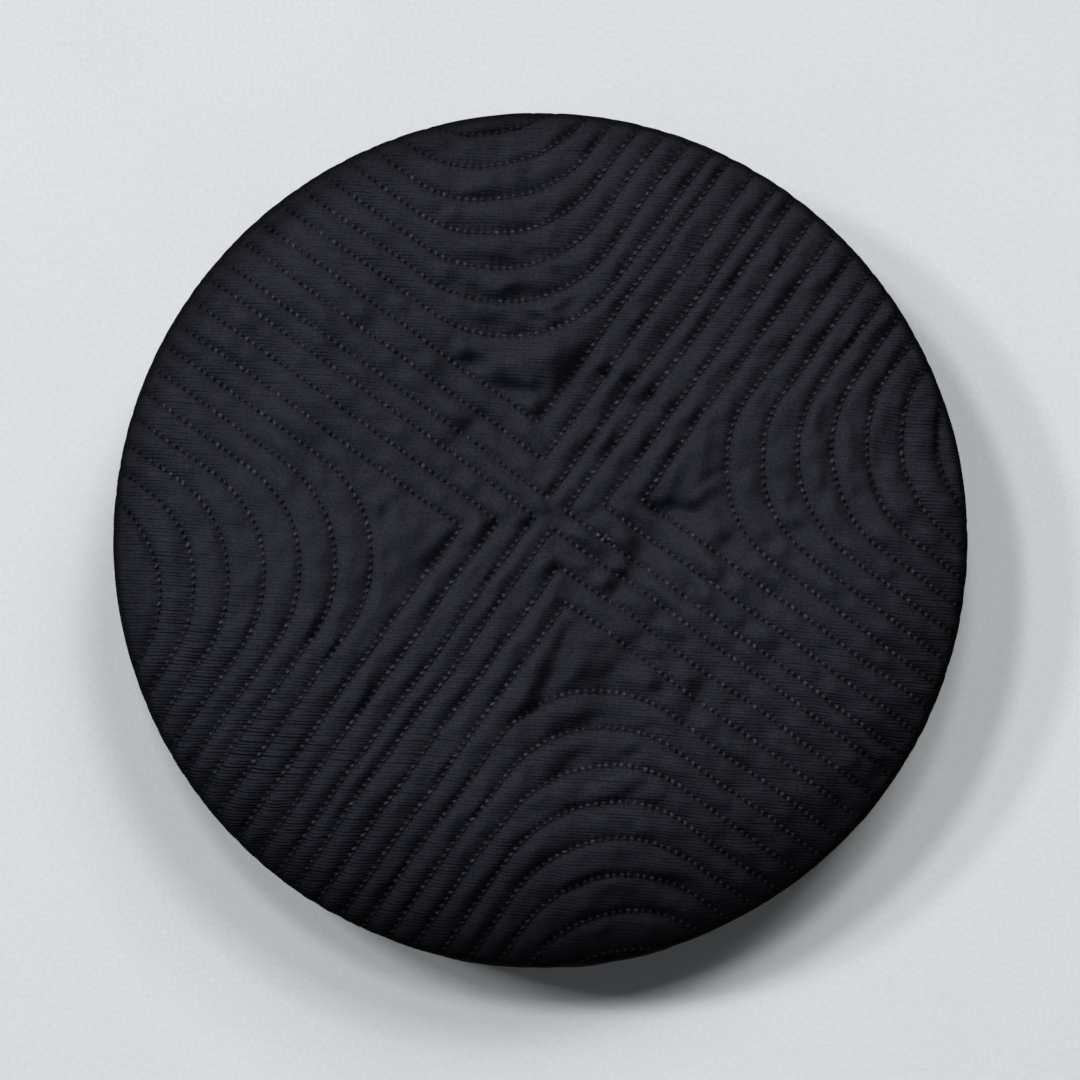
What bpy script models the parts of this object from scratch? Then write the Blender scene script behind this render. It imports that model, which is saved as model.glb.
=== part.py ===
"""Round, flat-topped prayer cap of padded, quilted cloth.

The crown is one round quilted panel. It is nearly flat in the middle, slopes away more and more
towards its edge, and there rounds over and turns down into the seam. The band is one quilted strip
that stands under it all the way round, with a folded hem at its foot. Each is a padded wall that
puffs up between its rows of stitches, on both sides.

The cap stands on its hem with the crown up. Metres, +Z up, origin at the middle of the footprint.
"""

import bpy
from math import atan, atan2, cos, exp, hypot, pi, radians, sin, sqrt, tan
from mathutils.geometry import delaunay_2d_cdt

# Driving sizes
CROWN_RADIUS = 0.090
CAP_HEIGHT = 0.082
HEM_RADIUS = 0.091
SEAM_GAP = 0.0003

# The padded wall, measured over the ribs and at the stitches
RIB_WALL = 0.0030
STITCH_WALL = 0.0017
RIB_HEIGHT = 0.0008
RIB_ROUNDING = 0.0013

# The crown's outline from the side: its fall grows with a power of the distance from the middle
DOME_EDGE_SLOPE = radians(17.0)
DOME_POWER = 4.0
EDGE_ROUNDING = 0.0070
EDGE_DROP = 0.0030
SEAM_TUCK = 0.0010
SEAM_WALL = 0.0016

# How finely the crown is cut into flat facets
LEG_STEP = 0.030
LEG_STEPS = 6
TURN_STEP = radians(22.5)
RING_STEP = radians(4.5)
EDGE_RING_TURNS = 3
CREASE_ANGLE = radians(25.0)
MERGE_DISTANCE = 0.00001

# The quilting: four families of nested curves round one point, each a corner with two straight legs.
# Legs of neighbouring families are parallel, a quarter turn apart.
PATTERN_CENTRE = (0.0022, 0.0051)
PATTERN_TURN = radians(9.0)
SHARP_ROWS = 3
FIRST_SHARP_CORNER = 0.0032
SHARP_CORNER_STEP = 0.0080

# Rounded rows: (bearing from the turned +X axis in degrees, distance of the first row's corner,
# step to the next row's corner, corner radius, sideways shift, number of rows)
ROUNDED_ROWS = (
    (90.0, 0.0261, 0.00728, 0.0274, -0.0012, 7),
    (0.0, 0.0268, 0.00747, 0.0251, -0.0004, 7),
    (270.0, 0.0270, 0.00772, 0.0267, -0.0004, 8),
    (180.0, 0.0272, 0.00756, 0.0268, -0.0006, 7),
)

# The band
BAND_STEPS = 54
BAND_ROW_SPACING = 0.0078
RIB_SHOULDERS = (0.25, 0.75)
HEM_ROW_HEIGHT = 0.0080
HEM_WALL = 0.0034
HEM_CORNER = 0.0010

# The cloth's colour, near-black navy charcoal, and its dull surface
CROWN_COLOUR = (0.018, 0.019, 0.0275)
BAND_COLOUR = (0.017, 0.018, 0.026)
CLOTH_ROUGHNESS = 0.86

# Sizes that follow from the ones above
EDGE_START = CROWN_RADIUS - RIB_HEIGHT - EDGE_ROUNDING * (1.0 - sin(DOME_EDGE_SLOPE))
EDGE_ARC = EDGE_ROUNDING * (pi / 2.0 - DOME_EDGE_SLOPE)
PANEL_RADIUS = EDGE_START + EDGE_ARC + hypot(EDGE_DROP, SEAM_TUCK)
DOME_FALL = tan(DOME_EDGE_SLOPE) * EDGE_START / DOME_POWER
DOME_TOP = CAP_HEIGHT - RIB_HEIGHT
DOME_EDGE = DOME_TOP - DOME_FALL
SEAM_HEIGHT = DOME_EDGE - EDGE_ROUNDING * cos(DOME_EDGE_SLOPE) - EDGE_DROP
BAND_HEIGHT = SEAM_HEIGHT - SEAM_GAP


def clear_scene():
    """Remove whatever objects the open file holds."""
    for old_object in list(bpy.data.objects):
        bpy.data.objects.remove(old_object, do_unlink=True)


def cloth_material(name, colour):
    """A dull woven cloth of one colour."""
    material = bpy.data.materials.new(name)
    material.use_nodes = True
    shader = material.node_tree.nodes["Principled BSDF"]
    shader.inputs["Base Color"].default_value = (*colour, 1.0)
    shader.inputs["Roughness"].default_value = CLOTH_ROUGHNESS
    shader.inputs["Metallic"].default_value = 0.0
    return material


def quilting_rows():
    """Every stitched row, and the crest midway to its neighbour, as (corner, bearing, radius)."""
    stitched = []
    crests = []
    for bearing, first, step, radius, sideways, count in ROUNDED_ROWS:
        turn = PATTERN_TURN + radians(bearing)
        rows = [(FIRST_SHARP_CORNER + SHARP_CORNER_STEP * row, 0.0, 0.0) for row in range(SHARP_ROWS)]
        rows += [(first + step * row, radius, sideways) for row in range(count)]
        for distance, corner_radius, shift in rows:
            stitched.append((row_corner(turn, distance, shift), turn, corner_radius))
        for near, far in zip(rows, rows[1:]):
            middle = [(low + high) / 2.0 for low, high in zip(near, far)]
            crests.append((row_corner(turn, middle[0], middle[2]), turn, middle[1]))
    return stitched, crests


def row_corner(turn, distance, shift):
    """Where a row's two straight legs would meet, out from the pattern's centre and a little aside."""
    x = PATTERN_CENTRE[0] + distance * cos(turn) - shift * sin(turn)
    y = PATTERN_CENTRE[1] + distance * sin(turn) + shift * cos(turn)
    return x, y


def leg_start(corner, turn, radius, side):
    """Where a leg leaves the rounded corner, and the way it runs; side is +1 or -1."""
    bearing = turn + side * pi / 4.0
    x = corner[0] + radius * cos(bearing)
    y = corner[1] + radius * sin(bearing)
    return (x, y), (cos(bearing), sin(bearing))


def row_path(corner, turn, radius):
    """Points along one row: in along one leg, round its corner and out along the other leg."""
    ends = []
    for side in (-1.0, 1.0):
        start, direction = leg_start(corner, turn, radius, side)
        ends.append([
            (start[0] + direction[0] * LEG_STEP * step, start[1] + direction[1] * LEG_STEP * step)
            for step in range(1, LEG_STEPS + 1)
        ])
    centre = (corner[0] + radius * sqrt(2.0) * cos(turn), corner[1] + radius * sqrt(2.0) * sin(turn))
    bend = []
    bend_steps = round(pi / 2.0 / TURN_STEP) if radius else 0
    for step in range(bend_steps + 1):
        bearing = turn + pi + pi / 4.0 - TURN_STEP * step
        bend.append((centre[0] + radius * cos(bearing), centre[1] + radius * sin(bearing)))
    return list(reversed(ends[0])) + bend + ends[1]


def cross_path(turn):
    """One of the two straight crests that cross at the pattern's centre, between the families."""
    return [
        (PATTERN_CENTRE[0] + LEG_STEP * step * cos(turn), PATTERN_CENTRE[1] + LEG_STEP * step * sin(turn))
        for step in range(-LEG_STEPS, LEG_STEPS + 1)
    ]


def circle_crossing(inside, outside, reach):
    """Where a straight run from a point inside a circle round the origin leaves it."""
    run = (outside[0] - inside[0], outside[1] - inside[1])
    square = run[0] ** 2 + run[1] ** 2
    along = (inside[0] * run[0] + inside[1] * run[1]) / square
    beyond = (inside[0] ** 2 + inside[1] ** 2 - reach ** 2) / square
    share = sqrt(along ** 2 - beyond) - along
    return inside[0] + run[0] * share, inside[1] + run[1] * share


def within_circle(path, reach):
    """The stretch of a path that lies inside a circle round the origin, cut where it crosses it."""
    kept = []
    for near, far in zip(path, path[1:]):
        near_inside = hypot(*near) < reach
        far_inside = hypot(*far) < reach
        if far_inside and not near_inside:
            kept.append(circle_crossing(far, near, reach))
        if far_inside:
            kept.append(far)
        elif near_inside:
            kept.append(circle_crossing(near, far, reach))
    return kept


def row_distance(point, corner, turn, radius):
    """Distance from a point of the flat panel to one row: the nearer of its two legs and its corner."""
    nearest = None
    for side in (1.0, -1.0):
        start, direction = leg_start(corner, turn, radius, side)
        offset = (point[0] - start[0], point[1] - start[1])
        along = max(0.0, offset[0] * direction[0] + offset[1] * direction[1])
        gap = hypot(offset[0] - along * direction[0], offset[1] - along * direction[1])
        nearest = gap if nearest is None else min(nearest, gap)
    if radius:
        centre_distance = radius * sqrt(2.0)
        offset = (point[0] - corner[0] - centre_distance * cos(turn),
                  point[1] - corner[1] - centre_distance * sin(turn))
        bearing = atan2(offset[1], offset[0]) - turn - pi
        bearing = (bearing + pi) % (2.0 * pi) - pi
        if abs(bearing) <= pi / 4.0:
            nearest = min(nearest, abs(hypot(*offset) - radius))
    return nearest


def puff(distance):
    """How much of the rib's height stands at this distance from the nearest stitches, 0 to 1."""
    return 1.0 - exp(-distance / RIB_ROUNDING)


def crown_profile(reach):
    """Radius, height and outward normal on the crown's bare form, by distance along the cloth."""
    if reach <= EDGE_START:
        share = reach / EDGE_START
        slope = atan(tan(DOME_EDGE_SLOPE) * share ** (DOME_POWER - 1.0))
        return reach, DOME_TOP - DOME_FALL * share ** DOME_POWER, sin(slope), cos(slope)
    radius = EDGE_START - EDGE_ROUNDING * sin(DOME_EDGE_SLOPE)
    height = DOME_EDGE - EDGE_ROUNDING * cos(DOME_EDGE_SLOPE)
    if reach <= EDGE_START + EDGE_ARC:
        slope = DOME_EDGE_SLOPE + (reach - EDGE_START) / EDGE_ROUNDING
        return radius + EDGE_ROUNDING * sin(slope), height + EDGE_ROUNDING * cos(slope), sin(slope), cos(slope)
    drop_share = (reach - EDGE_START - EDGE_ARC) / (PANEL_RADIUS - EDGE_START - EDGE_ARC)
    return radius + EDGE_ROUNDING - SEAM_TUCK * drop_share, height - EDGE_DROP * drop_share, 1.0, 0.0


def ring_reaches():
    """The rings that shape the crown's edge, from the dome's end to the seam."""
    reaches = [EDGE_START + EDGE_ARC * turn / EDGE_RING_TURNS for turn in range(EDGE_RING_TURNS + 1)]
    return reaches + [PANEL_RADIUS]


def add_path(points, edges, path, closed=False):
    """Add a path's points, and the runs between them, to the lines that the panel is cut along."""
    first = len(points)
    points.extend(path)
    edges.extend((first + index, first + index + 1) for index in range(len(path) - 1))
    if closed:
        edges.append((len(points) - 1, first))


def crown_facets():
    """Flat panel cut into triangles along every row, every crest and every ring of the edge."""
    stitched, crests = quilting_rows()
    points = []
    edges = []
    for corner, turn, radius in stitched:
        add_path(points, edges, within_circle(row_path(corner, turn, radius), PANEL_RADIUS))
    for corner, turn, radius in crests:
        add_path(points, edges, within_circle(row_path(corner, turn, radius), EDGE_START))
    for turn in (PATTERN_TURN + pi / 4.0, PATTERN_TURN - pi / 4.0):
        add_path(points, edges, within_circle(cross_path(turn), EDGE_START))
    ring_count = round(2.0 * pi / RING_STEP)
    for reach in ring_reaches():
        ring = [(reach * cos(RING_STEP * step), reach * sin(RING_STEP * step)) for step in range(ring_count)]
        add_path(points, edges, ring, closed=True)
    flat_points, _, faces, _, _, _ = delaunay_2d_cdt(points, edges, [], 0, MERGE_DISTANCE)
    return flat_points, faces, stitched


def crown_surface(flat_points, stitched):
    """The facets' corners raised onto the dome, with the share of the full wall left at each."""
    corners = []
    walls = []
    for x, y in flat_points:
        reach = min(hypot(x, y), PANEL_RADIUS)
        swell = puff(min(row_distance((x, y), *row) for row in stitched))
        edge_share = min(1.0, max(0.0, (reach - EDGE_START) / EDGE_ARC))
        swell += (1.0 - swell) * edge_share
        wall = STITCH_WALL + (RIB_WALL - STITCH_WALL) * swell
        wall += (SEAM_WALL - wall) * edge_share
        radius, height, normal_out, normal_up = crown_profile(reach)
        seam_share = min(1.0, (PANEL_RADIUS - reach) / EDGE_DROP)
        rise = RIB_HEIGHT * swell * seam_share
        bearing = atan2(y, x)
        radius += rise * normal_out
        corners.append((radius * cos(bearing), radius * sin(bearing), height + rise * normal_up))
        walls.append(wall / RIB_WALL)
    return corners, walls


def build_crown(collection, material):
    """The quilted top panel: an open surface, made a padded wall that is thinner at its stitches."""
    flat_points, faces, stitched = crown_facets()
    corners, walls = crown_surface(flat_points, stitched)
    mesh = bpy.data.meshes.new("crown")
    mesh.from_pydata(corners, [], faces)
    mesh.shade_smooth()
    mesh.set_sharp_from_angle(angle=CREASE_ANGLE)
    mesh.materials.append(material)
    crown = bpy.data.objects.new("crown", mesh)
    collection.objects.link(crown)
    padding = crown.vertex_groups.new(name="padding")
    for index, share in enumerate(walls):
        padding.add([index], share, "REPLACE")
    solidify = crown.modifiers.new("padded wall", "SOLIDIFY")
    solidify.thickness = RIB_WALL
    solidify.offset = -1.0
    solidify.vertex_group = "padding"
    return crown


def band_radius(height):
    """Radius over the ribs of the band's outer face, which flares a little towards the hem."""
    return HEM_RADIUS + (CROWN_RADIUS - HEM_RADIUS) * height / BAND_HEIGHT


def band_row_heights():
    """Heights of the band's stitched rows, from the seam down to the hem's own row."""
    room = BAND_HEIGHT - HEM_ROW_HEIGHT
    count = round(room / BAND_ROW_SPACING)
    return [BAND_HEIGHT - room * row / count for row in range(1, count + 1)]


def band_profile():
    """The band's section as (radius, height), down the outer face and back up the inner face."""
    edges = [BAND_HEIGHT] + band_row_heights()
    outer = [(band_radius(BAND_HEIGHT) - RIB_HEIGHT - SEAM_TUCK, BAND_HEIGHT)]
    inner = [(outer[0][0] - SEAM_WALL, BAND_HEIGHT)]
    for above, below in zip(edges, edges[1:]):
        span = above - below
        for share in RIB_SHOULDERS:
            height = above - span * share
            outer.append((band_radius(height), height))
        middle = (above + below) / 2.0
        inner.append((band_radius(middle) - RIB_WALL, middle))
        outer.append((band_radius(below) - RIB_HEIGHT, below))
        inner.append((band_radius(below) - RIB_HEIGHT - STITCH_WALL, below))
    hem_middle = HEM_ROW_HEIGHT / 2.0
    outer.append((band_radius(hem_middle), hem_middle))
    inner.append((band_radius(hem_middle) - HEM_WALL, hem_middle))
    outer.append((HEM_RADIUS, HEM_CORNER))
    outer.append((HEM_RADIUS - HEM_CORNER, 0.0))
    inner.append((HEM_RADIUS - HEM_WALL, HEM_CORNER))
    inner.append((HEM_RADIUS - HEM_WALL + HEM_CORNER, 0.0))
    return outer + list(reversed(inner))


def build_band(collection, material):
    """The upright wall and its hem, as one closed section turned about the cap's axis."""
    section = band_profile()
    mesh = bpy.data.meshes.new("band")
    loop = [(index, (index + 1) % len(section)) for index in range(len(section))]
    mesh.from_pydata([(radius, 0.0, height) for radius, height in section], loop, [])
    mesh.materials.append(material)
    band = bpy.data.objects.new("band", mesh)
    collection.objects.link(band)
    screw = band.modifiers.new("turned ring", "SCREW")
    screw.axis = "Z"
    screw.angle = 2.0 * pi
    screw.steps = BAND_STEPS
    screw.render_steps = BAND_STEPS
    screw.use_merge_vertices = True
    screw.merge_threshold = MERGE_DISTANCE
    screw.use_smooth_shade = True
    return band


def build_cap():
    """Both pieces, in one collection."""
    clear_scene()
    collection = bpy.data.collections.new("prayer cap")
    bpy.context.scene.collection.children.link(collection)
    build_crown(collection, cloth_material("crown cloth", CROWN_COLOUR))
    build_band(collection, cloth_material("band cloth", BAND_COLOUR))


build_cap()
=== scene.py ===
"""Finished look of the round, quilted prayer cap.

The crown and the band are each a closed, padded wall of cloth with its ribs, puckers and needle holes
modelled, and every stitch is a small arch of thread. Metres, +Z up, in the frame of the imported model.
"""
from math import cos, pi, radians, sin, sqrt

import bpy
import numpy as np
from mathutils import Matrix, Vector, noise
from mathutils.geometry import delaunay_2d_cdt


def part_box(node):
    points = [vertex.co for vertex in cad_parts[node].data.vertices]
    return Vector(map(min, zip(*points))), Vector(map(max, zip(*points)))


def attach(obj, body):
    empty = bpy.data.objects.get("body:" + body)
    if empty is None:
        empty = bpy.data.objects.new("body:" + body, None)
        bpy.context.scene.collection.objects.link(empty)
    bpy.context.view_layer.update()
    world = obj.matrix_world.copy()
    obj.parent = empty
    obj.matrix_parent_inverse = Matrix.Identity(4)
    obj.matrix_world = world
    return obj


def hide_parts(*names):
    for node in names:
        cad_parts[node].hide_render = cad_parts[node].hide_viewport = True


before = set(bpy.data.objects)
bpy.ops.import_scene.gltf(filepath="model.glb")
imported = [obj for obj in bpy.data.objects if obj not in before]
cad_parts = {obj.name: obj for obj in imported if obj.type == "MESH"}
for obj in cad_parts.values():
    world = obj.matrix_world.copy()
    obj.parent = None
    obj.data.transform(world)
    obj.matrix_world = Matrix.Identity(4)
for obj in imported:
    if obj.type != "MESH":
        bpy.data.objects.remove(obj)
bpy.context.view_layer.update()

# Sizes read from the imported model
CROWN_LOW, CROWN_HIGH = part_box("crown")
_, BAND_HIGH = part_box("band")
CROWN_RADIUS = CROWN_HIGH.x
CAP_HEIGHT = CROWN_HIGH.z
SEAM_HEIGHT = CROWN_LOW.z
HEM_RADIUS = BAND_HIGH.x
BAND_HEIGHT = BAND_HIGH.z

# The padded wall, measured over the ribs and at the stitches
RIB_WALL = 0.0030
STITCH_WALL = 0.0017
RIB_CREST = 0.0008
RIB_RISE = 0.00080
RIB_SHOULDER = 0.00275

# The crown's outline from the side: its fall grows with a power of the distance from the middle.
# It slopes and rounds over more at the front than at the back.
DOME_TOP = CAP_HEIGHT - RIB_CREST
BACK_POWER = 5.0
FRONT_POWER = 5.5
BACK_SLOPE = radians(8.0)
FRONT_SLOPE = radians(36.0)
BACK_ROUNDING = 0.0036
FRONT_ROUNDING = 0.0044
FRONT_BEARING = radians(285.0)
SEAM_TUCK = 0.0010
SEAM_WALL = 0.0016
SEAM_FADE = 0.0030
PANEL_REACH = 0.110

# The quilting: four families of nested curves round one point, each a corner with two straight legs
PATTERN_CENTRE = (0.0022, 0.0051)
PATTERN_TURN = radians(9.0)
SHARP_ROWS = 3
FIRST_SHARP_CORNER = 0.0032
SHARP_CORNER_STEP = 0.0080

# Rounded rows: (bearing from the turned +X axis in degrees, distance of the first row's corner,
# step to the next row's corner, corner radius, sideways shift, number of rows)
ROUNDED_ROWS = (
    (90.0, 0.0261, 0.00728, 0.0274, -0.0012, 7),
    (0.0, 0.0268, 0.00747, 0.0251, -0.0004, 7),
    (270.0, 0.0270, 0.00772, 0.0267, -0.0004, 8),
    (180.0, 0.0272, 0.00756, 0.0268, -0.0006, 7),
)

# Stitches: one every STITCH_PITCH, a needle hole at each end. Sizes vary within STITCH_SIZES, and each
# stitch stands proud of its row by a share of its thickness.
STITCH_PITCH = 0.00162
STITCH_LENGTH = 0.00116
STITCH_WIDTH = 0.00082
STITCH_THICKNESS = 0.00040
STITCH_SIZES = (0.78, 1.18)
STITCH_SLANT = radians(38.0)
STITCH_SLANT_SHAKE = radians(16.0)
STITCH_JITTER = 0.00016
STITCH_PROUD = 0.35
HOLE_DEPTH = 0.00060
ROW_REACH = 0.150

# Share of a needle hole's depth on its row: at the hole, and at the middle of a stitch
ROW_HOLES = (1.0, 0.30)

# Sections along one stitch: (share of half its length, share of its girth, lift in thicknesses)
STITCH_SECTIONS = (
    (-1.0, 0.35, -0.90),
    (-0.65, 0.80, -0.20),
    (0.0, 1.0, 0.0),
    (0.65, 0.80, -0.20),
    (1.0, 0.35, -0.90),
)
STITCH_SIDES = 6

# Painted shade on the thread towards the rim: (distance from the middle where it starts, distance where
# it is full, share of its brightness lost there)
THREAD_RIM_PAINTED_SHADE = (0.079, 0.087, 0.55)

# Round the crown's edge the cloth is pulled smooth: thread sinks by a share of its thickness, needle
# holes lose a share of their depth, and ribs and puckers keep only a share of their height
EDGE_SINK = 0.80
EDGE_SMOOTH = 0.85
EDGE_RIBS = 0.04
EDGE_PUCKERS = 0.05

# The rim's front part, where a row runs beside the edge and is pulled nearly flat: distances from the
# middle where it starts and where it is full, how narrowly it keeps to the front, and the share of the
# padding's relief lost there
FRONT_RIM = (0.0825, 0.0865)
FRONT_RIM_NARROW = 8
FRONT_RIM_FLAT = 0.85

# Ends of thread left lying beside one row, each as long as a stitch: (x, y, bearing in degrees)
LOOSE_ENDS = (
    (0.0121, 0.0006, -14.0),
    (0.0129, -0.0004, 41.0),
    (0.0137, 0.0004, 48.0),
    (0.0142, -0.0001, -25.0),
    (0.0151, -0.0006, -38.0),
    (0.0154, -0.0015, 62.0),
)
LOOSE_SHADE = 1.5

# Mesh columns beside a row: (offset from the row, half stitches between points, share of a needle
# hole's depth at the hole, the same at the middle of a stitch)
OUTER_COLUMNS = (
    (0.0, 1, *ROW_HOLES),
    (0.00045, 1, 0.95, 0.10),
    (-0.00045, 1, 0.95, 0.10),
    (0.0010, 1, 0.40, 0.0),
    (-0.0010, 1, 0.40, 0.0),
    (0.0019, 2, 0.0, 0.0),
    (-0.0019, 2, 0.0, 0.0),
)
INNER_COLUMNS = (
    (0.0, 2, 0.4, 0.4),
    (0.0012, 4, 0.0, 0.0),
    (-0.0012, 4, 0.0, 0.0),
)

# A column's point is kept where no row comes nearer than this share of the column's offset
COLUMN_SHARE = 0.95

# The even field of points between the columns: (spacing, least distance from a row). Its lines lie
# closer than its points, so FIELD_MARGIN more of them are needed each way.
OUTER_FIELD = (0.00085, 0.0023)
INNER_FIELD = (0.0020, 0.0022)
FIELD_MARGIN = 10
MERGE_DISTANCE = 0.000001

# Points round the crown's rim, and the step from which a stitch's directions are worked out
RIM_POINTS = 720
SMALL_STEP = 0.00005

# Dents and creases pressed into the crown: (x, y, bearing in degrees, half length, half width, depth)
CREASES = (
    (-0.0065, 0.0314, -16.0, 0.0036, 0.0013, 0.00240),
    (-0.0148, 0.0370, 0.0, 0.0020, 0.0013, 0.00210),
    (0.0062, 0.0346, 54.0, 0.0058, 0.0026, 0.00230),
    (0.0006, 0.0270, 45.0, 0.0026, 0.0018, 0.00130),
    (-0.0075, 0.0438, -10.0, 0.0065, 0.0013, 0.00150),
    (-0.0008, 0.0456, -25.0, 0.0026, 0.0009, 0.00170),
    (0.0054, 0.0479, 35.0, 0.0036, 0.0014, 0.00200),
    (-0.0136, 0.0511, -20.0, 0.0038, 0.0013, 0.00210),
    (-0.0029, 0.0513, 5.0, 0.0042, 0.0013, 0.00160),
    (-0.0080, 0.0520, 70.0, 0.0024, 0.0012, -0.00070),
    (-0.0092, 0.0577, -8.0, 0.0055, 0.0013, 0.00170),
    (-0.0013, 0.0593, 5.0, 0.0026, 0.0012, 0.00160),
    (0.0206, 0.0277, -18.0, 0.0034, 0.0009, 0.00150),
    (0.0165, 0.0348, 10.0, 0.0018, 0.0013, -0.00100),
    (0.0182, 0.0322, 10.0, 0.0018, 0.0011, 0.00130),
    (0.0213, 0.0316, 20.0, 0.0018, 0.0013, -0.00090),
    (0.0232, 0.0292, 10.0, 0.0018, 0.0011, 0.00130),
    (0.0262, 0.0287, 20.0, 0.0018, 0.0013, -0.00090),
    (0.0122, 0.0358, 20.0, 0.0022, 0.0012, -0.00100),
    (0.0132, 0.0340, -10.0, 0.0026, 0.0009, 0.00120),
    (0.0022, 0.0400, 54.0, 0.0100, 0.0060, -0.00120),
    (0.0282, 0.0060, -6.0, 0.0048, 0.0016, 0.00250),
    (0.0359, 0.0130, 30.0, 0.0028, 0.0010, 0.00120),
    (0.0316, 0.0097, 42.0, 0.0032, 0.0010, 0.00060),
    (0.0384, -0.0008, 52.0, 0.0038, 0.0019, 0.00190),
    (0.0386, 0.0074, 95.0, 0.0050, 0.0018, 0.00110),
    (0.0028, -0.0272, 63.0, 0.0110, 0.0021, 0.00280),
    (0.0148, -0.0283, 54.0, 0.0068, 0.0029, 0.00270),
    (0.0222, -0.0290, 48.0, 0.0050, 0.0028, -0.00110),
    (0.0095, -0.0387, 20.0, 0.0058, 0.0016, 0.00115),
    (0.0070, -0.0464, 33.0, 0.0062, 0.0016, 0.00115),
    (-0.0235, -0.0056, 46.0, 0.0060, 0.0020, 0.00150),
    (-0.0101, 0.0022, 30.0, 0.0018, 0.0012, 0.00150),
    (-0.0024, 0.0031, 40.0, 0.0016, 0.0012, 0.00150),
    (0.0033, -0.0063, 36.0, 0.0024, 0.0011, 0.00070),
    (0.0195, -0.0050, 56.0, 0.0100, 0.0024, 0.00170),
    (0.0314, -0.0108, 50.0, 0.0028, 0.0020, 0.00140),
    (0.0245, -0.0164, 55.0, 0.0030, 0.0022, 0.00110),
    (0.0215, -0.0216, 20.0, 0.0032, 0.0018, 0.00110),
    (0.0322, -0.0343, 62.0, 0.0054, 0.0018, 0.00150),
    (0.0187, -0.0452, 25.0, 0.0034, 0.0016, 0.00100),
    (0.0185, -0.0532, 25.0, 0.0040, 0.0016, 0.00100),
    (-0.0160, 0.0221, 42.0, 0.0055, 0.0014, 0.00120),
)

# Painted shade and light on the cloth: painted shade towards the front, at the back's left and round
# the rim, and painted light a little towards the right: (bearing of the side in degrees, how narrowly
# the shade keeps to it, distance from the middle where it starts, distance where it is full, share of the
# colour lost all round, share lost besides at that side, where less than nothing paints light)
PAINTED_SHADES = (
    (270.0, 2.2, 0.050, 0.088, 0.0, 0.62),
    (270.0, 2.2, 0.079, 0.090, 0.22, 0.62),
    (140.0, 1.5, 0.082, 0.0885, 0.0, 0.52),
    (340.0, 5.0, 0.010, 0.0300, 0.0, -0.13),
    (0.0, 1.0, 0.0874, 0.0892, 0.80, 0.0),
)

# Painted shade in needle holes and creases: share of the colour lost in the deepest part of a hole, power
# of the hole's own share, share lost in a crease, depth at which a crease has its full painted shade
HOLE_PAINTED_SHADE = 0.55
HOLE_PAINTED_SHADE_POWER = 1.5
CREASE_PAINTED_SHADE = 0.18
CREASE_DEEP = 0.0010

# Unevenness of the padding: (length of the lumps along the folds, width, height, place in the noise)
PUCKERS = (0.0045, 0.0036, 0.00125, 0.5)
FOLDS = (0.0220, 0.0060, 0.00140, 3.5)
WAVES = (0.0260, 0.0170, 0.00130, 7.5)

# Folds run along one bearing and die away from the middle, where the puckers too lose some height
FOLD_BEARING = PATTERN_TURN + pi / 4.0
FOLD_REACH = 0.062
FAR_PUCKERS = 0.5

# Sides of the crown where the padding is lumpier: (bearing, share added to the lumps)
LUMPY_SIDES = (
    (radians(-15.0), 0.55),
    (radians(95.0), 0.45),
)

# The rows run slacker towards one side of the pattern and the side opposite: flatter ribs, smaller holes
SLACK_SIDE = radians(144.0)
SLACK_NARROW = 3
SLACK_RIBS = 0.20
SLACK_HOLES = 0.25

# Rows are pulled in more tightly, and ribs turn down to them more steeply, in some places than in
# others: (length of such a place, width, share, place in the noise)
PULLS = (0.0100, 0.0065, 1.00, 11.5)
SHOULDERS = (0.0085, 0.0060, 0.90, 15.5)

# Seams wander to and fro along both axes: (length of one turn aside, width, distance, place in the noise)
WANDER_X = (0.0160, 0.0140, 0.00050, 21.5)
WANDER_Y = (0.0160, 0.0140, 0.00050, 27.5)

# Wide pockets of the pattern stand higher: (height, distance over which it grows)
POCKET = (0.00080, 0.0048)
SHAKE_SEED = 11

# The band, with its lumps and waves as (length, height), and the share of the lumps on its inner face
BAND_ROW_SPACING = 0.0078
HEM_ROW_HEIGHT = 0.0080
HEM_WALL = 0.0034
HEM_CORNER = 0.0010
BAND_COLUMNS = 748
BAND_LUMPS = (0.0048, 0.00040)
BAND_WAVES = (0.030, 0.0010)
INNER_LUMPS = 0.6
BACK_SEAM_BEARING = pi / 2.0
BACK_SEAM_DEPTH = 0.0009
BACK_SEAM_WIDTH = 0.0008

# Levels of the band's outer face beside a row: (offset from the row, share of a needle hole's depth at
# the hole, the same at the middle of a stitch)
BESIDE_LEVELS = (
    (0.0004, 0.30, 0.10),
    (0.0010, 0.0, 0.0),
    (0.0019, 0.0, 0.0),
    (0.0030, 0.0, 0.0),
)

# The level just under the seam: (offset, share of the seam's tuck, share of a rib's crest)
UNDER_SEAM = (0.0004, 0.5, 0.8)

# Levels of the band's inner face below each row, with the most by which its wall is thinner there,
# heights of the hem's levels, and turns round its corners in degrees
INNER_OFFSETS = (0.0016, 0.0040, 0.0065)
INNER_THINNER = 0.0005
HEM_OUTER_HEIGHTS = (0.0040, 0.0025)
HEM_INNER_HEIGHTS = (0.0060, 0.0035)
OUTER_CORNER_TURNS = (0.0, 30.0, 60.0, 90.0)
INNER_CORNER_TURNS = (0.0, 45.0, 90.0)

# The weave: thin grooves across the panel
WEAVE_PITCH = 0.00068
WEAVE_SLANT = radians(3.7)

# The nap hides the weave, and less so towards some sides: (bearing of the side in degrees, distance
# towards it where a change begins, distance where it is full, share of the weave added, less than
# nothing where the nap hides it again)
WEAVE_LEAST = 0.20
WEAVE_SHOWS = (
    (270.0, 0.006, 0.036, 0.68),
    (205.0, 0.045, 0.075, 0.75),
    (90.0, 0.012, 0.040, 0.40),
    (0.0, 0.060, 0.085, 0.70),
    (270.0, 0.068, 0.086, -0.45),
)

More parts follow.
